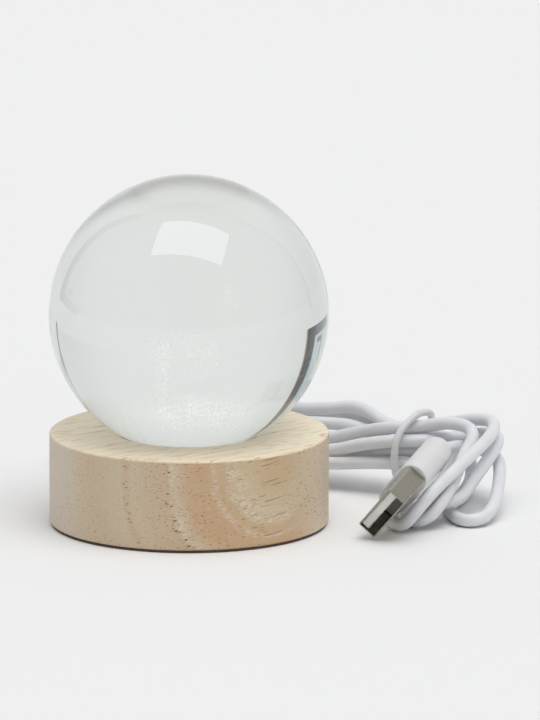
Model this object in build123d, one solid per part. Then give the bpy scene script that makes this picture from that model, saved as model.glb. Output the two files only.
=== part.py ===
from build123d import *
import math
import os

# Crystal ball night light: a solid glass ball rests loose on a turned wooden base.
# A light board hides under an opal window at the bottom of the base's well, and a
# white cord leaves the back of the base, lies tied in a hank and ends in a USB plug.
# Millimetres, +Z up, +X right, +Y away from the front. The origin is the centre of
# the underside, on the table.

# Ball and its seat
BALL_D = 60.0
SEAT_GAP = 0.15          # clearance between the ball and the cone that it rests on

# Turned base
BASE_D = BALL_D          # turned as wide as its ball
BASE_H = 20.0            # table to the base's top face
EDGE_EASE = 0.4
WELL_D = 30.5
SEAT_W = 0.5             # width of the cone round the well's mouth
CORD_HOLE_D = 3.4

# Window and light board
WINDOW_D = 34.8
WINDOW_T = 2.0
WINDOW_GAP = 0.2         # clearance round the window
WINDOW_EASE = 0.25
LED_SPACE = 1.9          # board to window
BOARD_D = 42.0
BOARD_T = 1.6
BOARD_GAP = 1.0          # clearance round the board
BOARD_SCREW_R = 19.4     # radius of the board's screw circle
UNDER_BOARD = 5.8        # free height for the cord between the cover and the board
CHIP_L = 3.5
CHIP_W = 2.8
CHIP_H = 0.8
CHIP_EASE = 0.12
DISH_D = 2.0
DISH_DEPTH = 0.3
CHIP_COUNT = 6
CHIP_RING_R = 9.0
RESISTOR_L = 2.0
RESISTOR_W = 1.25
RESISTOR_H = 0.5
RESISTOR_EASE = 0.08
RESISTOR_COUNT = 3
RESISTOR_PITCH = 3.2
SOLDER_D = 2.6

# Cover and foot pad
PAD_D = 59.0
PAD_T = 0.6
COVER_D = 52.0
COVER_T = 1.6
COVER_GAP = 0.15         # clearance round the cover
COVER_SCREW_R = 24.0     # radius of the cover's screw circle

# Screws
SCREW_COUNT = 3
SCREW_START = 30.0       # degrees from +X to the first screw of a circle
SHANK_D = 2.0
SHANK_GAP = 0.05         # clearance of a shank in its pilot hole
PASS_GAP = 0.2           # clearance of a shank in the plate that it passes
PILOT_SPARE = 0.5        # depth of a pilot hole past the screw's tip
TIP_R = 0.2
BOARD_SCREW_L = 6.5
PAN_D = 3.8
PAN_H = 1.3
PAN_ROUND = 0.6
COVER_SCREW_L = 8.0
COUNTERSINK_D = 4.0
RECESS_W = 0.5
RECESS_L = 2.0
RECESS_DEPTH = 0.7

# Cord
CORD_D = 2.8
CORD_Z = 5.0             # height of the cord's hole in the back of the base
TAIL_IN = 17.5           # length of cord inside, measured from the back face
LEAD_D = 0.9
LEAD_SPREAD = 0.55       # each lead's offset from the cord's centre
LEAD_CORNERS = [(0.9, 3.0, 0.0), (2.3, 6.0, 0.5), (3.2, 8.4, 1.2)]      # aside, forwards and up from the cord's end
STRAIN_W = 2.5
STRAIN_T = 1.0
STRAIN_HEAD = 3.6
STRAIN_HEAD_L = 3.5      # length of the head along the cord
STRAIN_EASE = 0.4
STRAIN_GAP = 0.3         # clearance of the cable tie's head to the wall
TIE_D = 1.6
ARC_SHARE = 0.45         # part of a run that the arc at its end may take
MEASURE_STEP = 0.7       # spacing of the places where a tube's gap to itself is measured
MEASURE_SKIP = 3.2       # diameters along a tube within which its gap isn't measured

# USB plug, from its mouth backwards
SHELL_W = 12.0
SHELL_T = 4.5
SHELL_OUT = 12.0         # length that shows in front of the grip
SHELL_IN = 5.5           # length held in the grip
SHELL_WALL = 0.3
SHELL_CORNER = 0.5
MOUTH_EASE = 0.12
LATCH_W = 2.3
LATCH_L = 2.0
LATCH_PITCH = 5.1
LATCH_FROM = 5.2         # mouth to the near edge of the latch windows
SEAM_W = 0.12
TONGUE_T = 1.95
TONGUE_BACK = 0.5        # mouth to the tongue's front edge
TONGUE_GAP = 0.25        # clearance of the tongue to the shell's side walls
TONGUE_EASE = 0.25
TONGUE_ROOT = 2.0        # length of the closed root in front of the shell's held end
CONTACT_FROM = 0.5       # tongue's front edge to its contacts
CONTACT_W = 1.1
CONTACT_T = 0.15
CONTACT_OUTER_X = 3.5
CONTACT_INNER_X = 1.0
CONTACT_OUTER_L = 7.6
CONTACT_INNER_L = 6.6
GRIP_W = 14.2
GRIP_T = 6.6
GRIP_L = 16.0
GRIP_ROUND = 2.4
GRIP_EASE = 0.35
NOTCH_W = 1.0
NOTCH_DEPTH = 0.5
GRIP_LEAD = 3.0          # straight cord behind the grip

# Where the plug lies
PLUG_MOUTH = (41.2, -20.1, 6.4)
PLUG_YAW = 66.8
PLUG_PITCH = 13.7
PLUG_ROLL = -48.0

# Heights and radii that follow
BASE_R = BASE_D / 2
BALL_R = BALL_D / 2
WELL_R = WELL_D / 2
CORD_R = CORD_D / 2
SHANK_R = SHANK_D / 2
COVER_TOP = PAD_T + COVER_T
BOARD_Z = COVER_TOP + UNDER_BOARD
BOARD_TOP = BOARD_Z + BOARD_T
WINDOW_Z = BOARD_TOP + LED_SPACE
LEDGE_Z = WINDOW_Z + WINDOW_T
WINDOW_BORE_R = WINDOW_D / 2 + WINDOW_GAP
BOARD_BORE_R = BOARD_D / 2 + BOARD_GAP
COVER_BORE_R = COVER_D / 2 + COVER_GAP

# Route of the cord's hank. Its points stay as chosen; the cord keeps inside their corners.
TIE_X = 46.5
WAIST = {              # y, z of the seven strands that the tie gathers
    "a": (27.0, 14.9), "b": (24.5, 12.4), "c": (27.2, 9.9), "d": (25.2, 6.8),
    "e": (30.5, 14.0), "f": (33.9, 12.8), "g": (30.7, 10.5),
}
LEAD_POINTS = [(0, BASE_R, CORD_Z), (0, 38, CORD_Z), (-4.5, 43.5, CORD_Z), (-12.5, 45.5, CORD_Z)]
FIRST_TURN = [
    (-23.0, 46.0, 5.0), (-26.5, 52.5, 5.0), (-21.0, 57.5, 5.0), (-10.0, 57.0, 5.0), (3.0, 52.5, 5.0),
    (14.0, 46.0, 5.5), (22.0, 39.8, 5.9), (30.0, 33.6, 7.9), (37.0, 28.0, 10.8),
]
FRONT_TURNS = [        # strand out, strand back, and the bend in front of the tie
    ("b", "g", [
        (55.0, 25.8, 12.5), (61.5, 28.6, 13.0), (66.4, 27.0, 13.6), (67.0, 20.5, 13.1), (64.2, 13.0, 10.4),
        (61.4, 7.0, 8.0), (59.6, 2.4, 6.2), (57.9, -1.0, 5.1), (54.2, -2.3, 4.7), (51.1, -0.2, 4.6),
        (51.3, 4.6, 4.7), (53.0, 11.0, 4.9), (55.4, 17.5, 5.9), (57.8, 24.4, 8.5), (55.4, 30.7, 10.7),
    ]),
    ("e", "d", [
        (56.5, 30.4, 15.2), (61.6, 27.6, 16.6), (66.0, 23.0, 17.3), (65.6, 15.6, 16.0), (61.8, 7.0, 14.1),
        (56.4, -3.7, 11.6), (51.6, -9.4, 8.2), (48.3, -12.0, 4.6), (45.8, -11.2, 1.7), (43.6, -7.0, 1.5),
        (43.0, 0.0, 1.5), (44.0, 9.6, 1.5), (47.0, 15.0, 1.6), (50.4, 17.8, 2.0), (52.8, 20.4, 3.2),
        (53.4, 23.1, 4.8), (52.6, 25.1, 6.1), (50.3, 25.9, 6.6),
    ]),
    ("a", "c", [
        (55.0, 24.2, 16.6), (60.2, 21.0, 16.6), (61.6, 16.0, 15.4), (59.4, 10.2, 12.8), (57.8, 4.4, 10.5),
        (56.4, -1.9, 8.6), (54.4, -6.6, 6.05), (51.8, -8.4, 3.2), (48.6, -7.2, 1.6), (46.6, -3.2, 1.5),
        (47.0, 4.0, 1.5), (50.0, 11.2, 1.5), (54.8, 16.8, 1.6), (57.3, 23.8, 3.3), (54.3, 28.5, 7.9),
    ]),
]
REAR_TURNS = [         # level, points going in, far end, points coming out
    (12.2, [(36.5, 37.0, 13.0), (29.5, 39.8, 13.0)], (-25.5, 54.5), [(30.5, 41.9, 15.7), (37.0, 39.3, 17.2)]),
    (8.7, [(36.0, 28.2, 5.3), (29.5, 31.6, 4.2)], (-28.0, 55.5), [(29.5, 37.0, 9.9), (36.5, 32.6, 12.6)]),
    (1.5, [(36.0, 32.5, 8.2), (29.5, 38.6, 5.0)], (-27.0, 58.0), [(29.0, 46.4, 14.8), (36.5, 42.2, 13.8)]),
]
REAR_RATIOS = [        # for each loop behind the base: its lean and its drop, going in and coming out
    ((0.8, 0.85), (1.35, 1.35)), ((0.8, 0.85), (1.35, 2.0)), ((0.45, 0.85), (3.0, 1.35)),
]
REAR_STEPS = (0.28, 0.55, 0.80)
REAR_HALF_W = 5.8      # half the width of a loop behind the base
REAR_ROUND = 4.6       # far end to the corners of its bend
REAR_RUN = 5.0         # far end to where the straight strands aim
REAR_NIP = 0.4         # the bend is narrower than the loop by this much
REAR_SWELL = 0.6       # the strand coming out bows out by this much
FANS = [(1.1, 0.2), (0.7, -0.4), (0.7, -0.1)]      # how each returning strand spreads behind the tie
LAST_STRAND = "f"
LAST_TURN = [
    (54.5, 34.2, 11.8), (60.4, 32.2, 8.6), (61.6, 25.4, 4.6), (58.9, 17.8, 1.5), (56.6, 10.5, 1.5),
    (56.0, 3.8, 1.5), (56.3, -2.2, 1.5), (58.8, -6.0, 1.5), (62.9, -5.7, 1.6), (65.6, -1.4, 2.0),
    (66.4, 4.6, 3.6), (66.8, 12.0, 6.2), (67.2, 18.6, 8.2), (66.4, 22.8, 9.3), (63.8, 25.4, 10.2),
    (60.6, 24.8, 11.0), (58.9, 21.0, 12.0),
]
PLUG_RUN = [(57.4, 16.4, 12.9), (55.4, 11.8, 13.5)]
TIE_POINTS = [
    (49.0, 33.5, 5.2), (47.0, 28.2, 5.3), (45.6, 25.6, 4.0), (44.7, 22.6, 4.8), (44.3, 21.6, 8.0),
    (44.4, 21.5, 12.6), (46.2, 23.4, 15.8), (49.6, 26.6, 18.2), (51.8, 30.8, 17.5), (52.6, 35.2, 15.8),
    (52.4, 38.2, 12.2), (51.2, 36.4, 8.6), (51.3, 33.2, 7.3), (51.4, 31.4, 3.8),
]


def disc(diameter, thickness, z):
    """A plain disc with its underside at height z."""
    return Pos(0, 0, z) * Cylinder(diameter / 2, thickness, align=(Align.CENTER, Align.CENTER, Align.MIN))


def ring_of(count, radius, start=0.0):
    """Places evenly round a circle about the vertical axis."""
    return [Rot(0, 0, start + 360 * i / count) * Pos(radius, 0, 0) for i in range(count)]


def seat():
    """Height where the ball's seat cone starts, and the height of the ball's centre."""
    touch_r = WELL_R + SEAT_W / 2
    reach = BALL_R + SEAT_GAP
    slope = math.asin(touch_r / reach)
    drop = SEAT_W * math.tan(slope)
    return BASE_H - drop, BASE_H - drop / 2 + reach * math.cos(slope)


def crystal_ball():
    """Solid glass ball, at rest on its seat."""
    return Pos(0, 0, seat()[1]) * Sphere(BALL_R)


def base_body():
    """Turned block with the well, the window's and the board's ledges and the cord's hole."""
    seat_z = seat()[0]
    outline = [
        (COVER_BORE_R, PAD_T), (BASE_R, PAD_T), (BASE_R, BASE_H), (WELL_R + SEAT_W, BASE_H), (WELL_R, seat_z),
        (WELL_R, LEDGE_Z), (WINDOW_BORE_R, LEDGE_Z), (WINDOW_BORE_R, BOARD_TOP), (BOARD_BORE_R, BOARD_TOP),
        (BOARD_BORE_R, COVER_TOP), (COVER_BORE_R, COVER_TOP),
    ]
    section = make_face(Polyline([(r, 0, z) for r, z in outline], close=True))
    body = revolve(section, Axis.Z)
    rims = body.edges().filter_by(GeomType.CIRCLE).filter_by(lambda e: e.radius > BASE_R - 0.01)
    body = fillet(rims, EDGE_EASE)
    hole = Pos(0, BASE_R - BOARD_BORE_R / 4, CORD_Z) * Rot(90, 0, 0) * Cylinder(CORD_HOLE_D / 2, BOARD_BORE_R)
    body -= hole
    pilot_r = SHANK_R + SHANK_GAP
    for place in ring_of(SCREW_COUNT, BOARD_SCREW_R, SCREW_START):
        body -= place * disc(2 * pilot_r, BOARD_SCREW_L - BOARD_T + PILOT_SPARE, BOARD_TOP)
    for place in ring_of(SCREW_COUNT, COVER_SCREW_R, SCREW_START):
        body -= place * disc(2 * pilot_r, COVER_SCREW_L - COVER_T + PILOT_SPARE, COVER_TOP)
    return body


def diffuser_window():
    """Opal disc that shuts the well from below."""
    return fillet(disc(WINDOW_D, WINDOW_T, WINDOW_Z).edges().filter_by(GeomType.CIRCLE), WINDOW_EASE)


def led_board():
    """Round light board with its screw holes."""
    board = disc(BOARD_D, BOARD_T, BOARD_Z)
    for place in ring_of(SCREW_COUNT, BOARD_SCREW_R, SCREW_START):
        board -= place * disc(SHANK_D + 2 * PASS_GAP, BOARD_T, BOARD_Z)
    return board


def led_chips():
    """Square surface-mounted lamps on the board, each with its shallow round dish."""
    chip = Pos(0, 0, CHIP_H / 2) * Box(CHIP_L, CHIP_W, CHIP_H)
    chip = chamfer(chip.edges().group_by(Axis.Z)[-1], CHIP_EASE)
    dish = Pos(0, 0, CHIP_H) * Cylinder(DISH_D / 2, DISH_DEPTH * 2)
    return Compound([place * Pos(0, 0, BOARD_TOP) * (chip - dish) for place in ring_of(CHIP_COUNT, CHIP_RING_R)])


def chip_resistors():
    """A row of resistors on the board's underside."""
    body = chamfer(Box(RESISTOR_L, RESISTOR_W, RESISTOR_H).edges().filter_by(Axis.Y), RESISTOR_EASE)
    row = []
    for i in range(RESISTOR_COUNT):
        x = (i - (RESISTOR_COUNT - 1) / 2) * RESISTOR_PITCH
        row.append(Pos(x, -CHIP_RING_R, BOARD_Z - RESISTOR_H / 2) * Rot(0, 0, 90) * body)
    return Compound(row)


def cross_recess(z, up):
    """Cross-shaped driver recess cut into a face at height z; up points out of the face."""
    bar = Box(RECESS_L, RECESS_W, RECESS_DEPTH)
    return Pos(0, 0, z - up * RECESS_DEPTH / 2) * (bar + Rot(0, 0, 90) * bar)


def screw(head_z, length, head):
    """Screw driven upwards from head_z, its length measured under a pan head or over all."""
    tip = Cone(SHANK_R, TIP_R, SHANK_D, align=(Align.CENTER, Align.CENTER, Align.MIN))
    shank = disc(SHANK_D, length - SHANK_D, 0) + Pos(0, 0, length - SHANK_D) * tip
    return Pos(0, 0, head_z) * (shank + head)


def board_screws():
    """Pan-head screws that hold the board against its ledge."""
    pan = fillet(disc(PAN_D, PAN_H, -PAN_H).edges().group_by(Axis.Z)[0], PAN_ROUND)
    one = screw(BOARD_Z, BOARD_SCREW_L, pan - cross_recess(-PAN_H, -1))
    return Compound([place * one for place in ring_of(SCREW_COUNT, BOARD_SCREW_R, SCREW_START)])


def countersink(gap=0.0):
    """Cone of a countersunk head, its wide face at height 0, grown by the gap."""
    wide = COUNTERSINK_D / 2 + gap
    return Cone(wide, SHANK_R, wide - SHANK_R, align=(Align.CENTER, Align.CENTER, Align.MIN))


def cover_screws():
    """Countersunk screws, flush with the cover's underside."""
    one = screw(PAD_T, COVER_SCREW_L, countersink()) - cross_recess(PAD_T, -1)
    return Compound([place * one for place in ring_of(SCREW_COUNT, COVER_SCREW_R, SCREW_START)])


def bottom_cover():
    """Plastic cover let into the underside, countersunk for its screws."""
    cover = disc(COVER_D, COVER_T, PAD_T)
    for place in ring_of(SCREW_COUNT, COVER_SCREW_R, SCREW_START):
        cover -= place * Pos(0, 0, PAD_T) * countersink(SHANK_GAP)
        cover -= place * disc(SHANK_D + 2 * PASS_GAP, COVER_T, PAD_T)
    return cover


def foot_pad():
    return disc(PAD_D, PAD_T, 0)


def cord_tail():
    """The cord's last stretch, through the back of the base to where its jacket is cut off."""
    return Pos(0, BASE_R - TAIL_IN / 2, CORD_Z) * Rot(90, 0, 0) * Cylinder(CORD_R, TAIL_IN)


def strain_tie():
    """Cable tie drawn tight on the cord inside the wall, so that a pull can't part the leads."""
    head_reach = CORD_R + STRAIN_T / 2 + STRAIN_HEAD
    y = math.sqrt(BOARD_BORE_R ** 2 - head_reach ** 2) - STRAIN_HEAD_L / 2 - STRAIN_GAP
    band = Cylinder(CORD_R + STRAIN_T, STRAIN_W)
    head = Pos(CORD_R + STRAIN_T / 2 + STRAIN_HEAD / 2, 0, 0) * Box(STRAIN_HEAD, STRAIN_HEAD, STRAIN_HEAD_L)
    lug = fillet(head.edges().filter_by(Axis.Z), STRAIN_EASE)
    tie = band + lug - Cylinder(CORD_R, STRAIN_HEAD_L)
    return Pos(0, y, CORD_Z) * Rot(90, 0, 0) * tie


def smooth_tube(points, diameter):
    """Tube of straight runs and tangent arcs, each arc as large as its two runs allow."""
    stops = [Vector(*p) for p in points]
    radii = []
    for before, here, after in zip(stops, stops[1:], stops[2:]):
        half_turn = math.radians((here - before).get_angle(after - here)) / 2
        radii.append(ARC_SHARE * min((here - before).length, (after - here).length) / math.tan(half_turn))
    path = FilletPolyline(*points, radius=radii)
    tube = sweep(Plane(path @ 0, z_dir=path % 0) * Circle(diameter / 2), path=path)
    return tube, path, radii


def lead_points(side):
    """Route of one bare lead, from the cut jacket up to the board's underside."""
    y = BASE_R - TAIL_IN
    corners = [(side * aside, y - forwards, CORD_Z + up) for aside, forwards, up in LEAD_CORNERS]
    return [(side * LEAD_SPREAD, y, CORD_Z), *corners, (*corners[-1][:2], BOARD_Z)]


def lead(side):
    return smooth_tube(lead_points(side), LEAD_D)[0]


def solder_joints(leads):
    """Two domes of solder on the board, each round the end of a lead."""
    domes = []
    for side in (-1, 1):
        x, y, z = lead_points(side)[-1]
        ball = Pos(x, y, z) * Sphere(SOLDER_D / 2)
        dome = ball & (Pos(x, y, z - SOLDER_D / 4) * Box(SOLDER_D, SOLDER_D, SOLDER_D / 2))
        domes.append(dome - leads[side])
    return Compound([solid for dome in domes for solid in dome.solids()])


def biarc(start, start_dir, end, end_dir):
    """Two arcs that meet smoothly and join two points in two given directions."""
    across = end - start
    total = start_dir + end_dir
    bend = 4 - total.dot(total)
    along = across.dot(total)
    arm = across.dot(across) / (2 * along)
    if bend > 1e-6:
        arm = (math.sqrt(along ** 2 + bend * across.dot(across)) - along) / bend
    first, second = start + start_dir * arm, end - end_dir * arm
    middle = (first + second) / 2
    middle_dir = (second - first).normalized()
    return [tangent_edge(start, start_dir, middle), tangent_edge(middle, middle_dir, end)]


def tangent_edge(start, direction, end):
    """Arc from start along direction to end, or a line where it would be all but straight."""
    if direction.get_angle(end - start) < 0.05:
        return Edge.make_line(start, end)
    return Edge.make_tangent_arc(start, direction, end)


def corner_path(points):
    """Smooth path that leaves its first point and reaches its last one straight."""
    stops = [Vector(*p) for p in points]
    middles = [(a + b) / 2 for a, b in zip(stops, stops[1:])]
    edges = [Edge.make_line(stops[0], middles[0])]
    for i in range(1, len(stops) - 1):
        before = (stops[i] - stops[i - 1]).normalized()
        after = (stops[i + 1] - stops[i]).normalized()
        edges += biarc(middles[i - 1], before, middles[i], after)
    edges.append(Edge.make_line(middles[-1], stops[-1]))
    return edges


def wound_tube(points, diameter):
    """One unbroken tube round the corners of a route, and the arcs that it follows."""
    edges = corner_path(points)
    section = Plane(edges[0] @ 0, z_dir=edges[0] % 0) * Circle(diameter / 2)
    return sweep(section, path=Wire(edges)), edges


def measure(name, edges, diameter):
    """Print the tightest radius of a path and the least gap of its tube to itself."""
    tightest = min((e for e in edges if e.geom_type == GeomType.CIRCLE), key=lambda e: e.radius)
    points = []
    reach = 0.0
    for edge in edges:
        steps = max(1, round(edge.length / MEASURE_STEP))
        for k in range(steps):
            points.append((reach + edge.length * k / steps, edge @ (k / steps)))
        reach += edge.length
    least, where = 1e9, None
    for i, (si, p) in enumerate(points):
        for sj, q in points[i + 1:]:
            if sj - si < MEASURE_SKIP * diameter:
                continue
            gap = (p - q).length - diameter
            if gap < least:
                least, where = gap, (p, q)
    spots = [tuple(round(c, 1) for c in v) for v in (tightest @ 0.5, *where)]
    print(f"{name}: length {reach:.1f}, tightest radius {tightest.radius:.2f} at {spots[0]}")
    print(f"{name}: least gap to itself {least:.2f} at {spots[1]} and {spots[2]}")


def strand(number, x, dy=0.0, dz=0.0):
    """A point of one strand beside the tie."""
    y, z = WAIST[number]
    return (x, y + dy, z + dz)


def blend(a, b, t):
    return a + (b - a) * t


def ease(a, b, t):
    t = min(1.0, t)
    return blend(a, b, t * t * (3 - 2 * t))


def rear_turn(level, going, far, coming, lean, drop):
    """One loop of the hank behind the base: along it, round the far end and back."""
    far_x, far_y = far
    near_in, near_out = going[-1], coming[0]
    points = list(going)
    for t in REAR_STEPS:
        y = blend(near_in[1], far_y - REAR_HALF_W, t ** lean[0])
        points.append((blend(near_in[0], far_x + REAR_RUN, t), y, ease(near_in[2], level, t * drop[0])))
    points += [(far_x + REAR_ROUND, far_y - REAR_HALF_W + REAR_NIP, level), (far_x, far_y, level),
               (far_x + REAR_ROUND, far_y + REAR_HALF_W, level)]
    for t in reversed(REAR_STEPS):
        y = blend(near_out[1], far_y + REAR_HALF_W + REAR_SWELL, t ** lean[1])
        points.append((blend(near_out[0], far_x + REAR_RUN, t), y, ease(near_out[2], level, t * drop[1])))
    return points + list(coming)


def hank_points():
    """The hank's route: a first half turn, three full turns and the open last loop."""
    points = list(FIRST_TURN)
    for (out, back, bend), rear, ratios, (dy, dz) in zip(FRONT_TURNS, REAR_TURNS, REAR_RATIOS, FANS):
        points += [strand(out, TIE_X - 3), strand(out, TIE_X + 3), *bend, strand(back, TIE_X + 1.5)]
        points += [strand(back, TIE_X - 4, dy, dz), *rear_turn(*rear, *ratios)]
    points += [strand(LAST_STRAND, TIE_X - 3, 1.0, 0.2), strand(LAST_STRAND, TIE_X + 3, 0, -0.3), *LAST_TURN]
    return points


def middle_of(a, b):
    return tuple((p + q) / 2 for p, q in zip(a, b))


def plug_frame():
    """Frame at the plug's mouth: x across it, y through its thickness, z back along it."""
    yaw, pitch, roll = (math.radians(v) for v in (PLUG_YAW, PLUG_PITCH, PLUG_ROLL))
    back = Vector(math.cos(pitch) * math.cos(yaw), math.cos(pitch) * math.sin(yaw), math.sin(pitch))
    side = Vector(-math.sin(yaw), math.cos(yaw), 0)
    lift = back.cross(side)
    across = side * math.cos(roll) + lift * math.sin(roll)
    return Plane(PLUG_MOUTH, x_dir=across, z_dir=back)


def shell_section(inset):
    return RectangleRounded(SHELL_W - 2 * inset, SHELL_T - 2 * inset, SHELL_CORNER - inset)


def plug_shell():
    """Folded sheet tube with a seam, four latch windows and an eased mouth."""
    length = SHELL_OUT + SHELL_IN
    tube = extrude(shell_section(0), length)
    tube = chamfer(tube.edges().group_by(Axis.Z)[0], MOUTH_EASE)
    tube -= extrude(shell_section(SHELL_WALL), length)
    for side in (-1, 1):
        window = Pos(side * LATCH_PITCH / 2, 0, LATCH_FROM + LATCH_L / 2) * Box(LATCH_W, SHELL_T + 1, LATCH_L)
        tube -= window
    seam = Pos(0, -SHELL_T / 2, length / 2) * Box(SEAM_W, SHELL_WALL * 2.5, length)
    return tube - seam


def plug_tongue():
    """Moulded insert that fills one half of the mouth and closes the shell behind the cavity."""
    half = SHELL_T / 2 - SHELL_WALL
    length = SHELL_OUT + SHELL_IN
    blade_w = SHELL_W - 2 * SHELL_WALL - 2 * TONGUE_GAP
    blade_l = length - TONGUE_BACK
    blade = Pos(0, half - TONGUE_T / 2, TONGUE_BACK + blade_l / 2) * Box(blade_w, TONGUE_T, blade_l)
    blade = chamfer(blade.edges().group_by(Axis.Z)[0].filter_by(Axis.X), TONGUE_EASE)
    root_l = SHELL_IN + TONGUE_ROOT
    body = blade + Pos(0, 0, length - root_l / 2) * Box(blade_w, 2 * half, root_l)
    for x, long in contact_places():
        slot_l = CONTACT_FROM + long
        body -= Pos(x, half - TONGUE_T, TONGUE_BACK + slot_l / 2) * Box(CONTACT_W, CONTACT_T * 2, slot_l)
    return body


def contact_places():
    """Offset and length of each of the four contacts."""
    return [(side * x, long) for x, long in
            ((CONTACT_OUTER_X, CONTACT_OUTER_L), (CONTACT_INNER_X, CONTACT_INNER_L)) for side in (-1, 1)]


def plug_contacts():
    """Four gilt strips let into the tongue's inner face."""
    y = SHELL_T / 2 - SHELL_WALL - TONGUE_T + CONTACT_T / 2
    strips = []
    for x, long in contact_places():
        strips.append(Pos(x, y, TONGUE_BACK + CONTACT_FROM + long / 2) * Box(CONTACT_W, CONTACT_T, long))
    return Compound(strips)


def plug_grip():
    """Moulded oval grip round the shell's root, domed at the back where the cord goes in."""
    outline = SlotOverall(GRIP_W, GRIP_T)
    body = Pos(0, 0, SHELL_OUT) * extrude(outline, GRIP_L)
    body = fillet(body.edges().group_by(Axis.Z)[-1], GRIP_ROUND)
    body = fillet(body.edges().group_by(Axis.Z)[0], GRIP_EASE)
    body -= extrude(shell_section(0), SHELL_OUT + SHELL_IN)
    notch = Pos(0, -GRIP_T / 2, SHELL_OUT) * Box(NOTCH_W, NOTCH_DEPTH * 2, NOTCH_DEPTH * 2)
    return body - notch


def report_tube(name, tube, path, radii):
    """Print a cord stretch's length, radii and volume against its path's."""
    share = tube.volume / (math.pi * CORD_R ** 2 * path.length)
    print(f"{name}: length {path.length:.1f}, radii {[round(r, 1) for r in radii]}, volume share {share:.4f}")


def export(name, shape):
    export_step(shape, os.path.join("parts", name + ".step"))


def main():
    os.makedirs("parts", exist_ok=True)
    export("crystal_ball", crystal_ball())
    export("base_body", base_body())
    export("diffuser_window", diffuser_window())
    export("led_board", led_board())
    export("led_chips", led_chips())
    export("chip_resistors", chip_resistors())
    export("board_screws", board_screws())
    export("cover_screws", cover_screws())
    export("bottom_cover", bottom_cover())
    export("foot_pad", foot_pad())
    export("cord_tail", cord_tail())
    export("strain_tie", strain_tie())
    leads = {side: lead(side) for side in (-1, 1)}
    export("lead_positive", leads[1])
    export("lead_negative", leads[-1])
    export("solder_joints", solder_joints(leads))

    frame = plug_frame()
    export("plug_shell", frame * plug_shell())
    export("plug_tongue", frame * plug_tongue())
    export("plug_contacts", frame * plug_contacts())
    export("plug_grip", frame * plug_grip())

    hank = hank_points()
    hank_start = middle_of(LEAD_POINTS[-1], hank[0])
    hank_end = middle_of(hank[-1], PLUG_RUN[0])
    tube, path, radii = smooth_tube(LEAD_POINTS + [hank_start], CORD_D)
    export("cord_lead", tube)
    report_tube("cord_lead", tube, path, radii)
    tube, edges = wound_tube([hank_start] + hank + [hank_end], CORD_D)
    export("cord_hank", tube)
    measure("cord_hank", edges, CORD_D)
    print("cord_hank volume share", round(tube.volume / (math.pi * CORD_R ** 2 * sum(e.length for e in edges)), 4))
    rear = frame.origin + frame.z_dir * (SHELL_OUT + GRIP_L)
    before_grip = rear + frame.z_dir * GRIP_LEAD
    tube, path, radii = smooth_tube([hank_end] + PLUG_RUN + [tuple(before_grip), tuple(rear)], CORD_D)
    export("cord_plug_run", tube)
    report_tube("cord_plug_run", tube, path, radii)
    tube, edges = wound_tube(TIE_POINTS, TIE_D)
    export("twist_tie", tube)
    measure("twist_tie", edges, TIE_D)


main()
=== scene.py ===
# %% [markdown]
# # A crystal ball night light
# A solid glass ball rests loose on a turned wooden base. A white cord leaves the back
# of the base, lies tied in a hank and ends in a USB plug. The solid parts come from the
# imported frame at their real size. This file gives them their finishes, and models the
# cord, its tie and the engraved haze in the glass. Blender works in metres.

# %% Load the frame
import math

import bpy
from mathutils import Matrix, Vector


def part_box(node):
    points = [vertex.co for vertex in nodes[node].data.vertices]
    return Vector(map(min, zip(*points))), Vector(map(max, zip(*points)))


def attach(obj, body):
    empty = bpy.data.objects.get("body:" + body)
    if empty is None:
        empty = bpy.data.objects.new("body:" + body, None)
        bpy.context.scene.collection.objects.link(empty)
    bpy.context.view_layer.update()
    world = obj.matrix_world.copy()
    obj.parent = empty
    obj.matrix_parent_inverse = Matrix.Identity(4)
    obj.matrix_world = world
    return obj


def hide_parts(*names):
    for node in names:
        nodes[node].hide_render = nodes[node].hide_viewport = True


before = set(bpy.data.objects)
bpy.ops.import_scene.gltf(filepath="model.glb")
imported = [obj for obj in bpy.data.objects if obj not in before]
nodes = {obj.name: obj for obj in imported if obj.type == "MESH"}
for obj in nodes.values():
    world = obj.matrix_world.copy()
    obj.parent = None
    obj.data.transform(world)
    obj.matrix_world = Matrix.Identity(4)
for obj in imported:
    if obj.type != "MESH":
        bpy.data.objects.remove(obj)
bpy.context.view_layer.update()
MM = 0.001

# %% [markdown]
# ## Sizes read from the frame
# The ball's centre and radius and the base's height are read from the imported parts, so
# the camera, the light and the finishes keep to them. Only the cord's route is written
# out again, because a cord has no formula of its own.

# %% Sizes
ball_low, ball_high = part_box("crystal_ball")
BALL_R = (ball_high.z - ball_low.z) / 2
BALL_C = Vector((0, 0, (ball_high.z + ball_low.z) / 2))
BASE_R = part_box("base_body")[1].x
BASE_R_MM = BASE_R / MM
TOP_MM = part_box("base_body")[1].z / MM
CHIP_TOP_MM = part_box("led_chips")[1].z / MM
LAMP_RING_MM = 9.0         # the ring on the board along which its lamps stand
CORD_D = 2.8 * MM
TIE_D = 1.6 * MM
print("ball radius", round(BALL_R, 4), "centre height", round(BALL_C.z, 4))
print("base radius and top in mm", round(BASE_R_MM, 3), round(TOP_MM, 3))

# %% [markdown]
# ## Node maths as expressions
# A procedural finish is mostly arithmetic on patterns. Written as nodes it is hard to
# read, so a small class wraps a socket and turns the usual operators into Math nodes.
# A second class holds a node tree and adds any other node in one call: its settings
# first, and then what its sockets take. It serves materials, the sky and Geometry Nodes.

# %% Socket wrapper and tree builder


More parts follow.
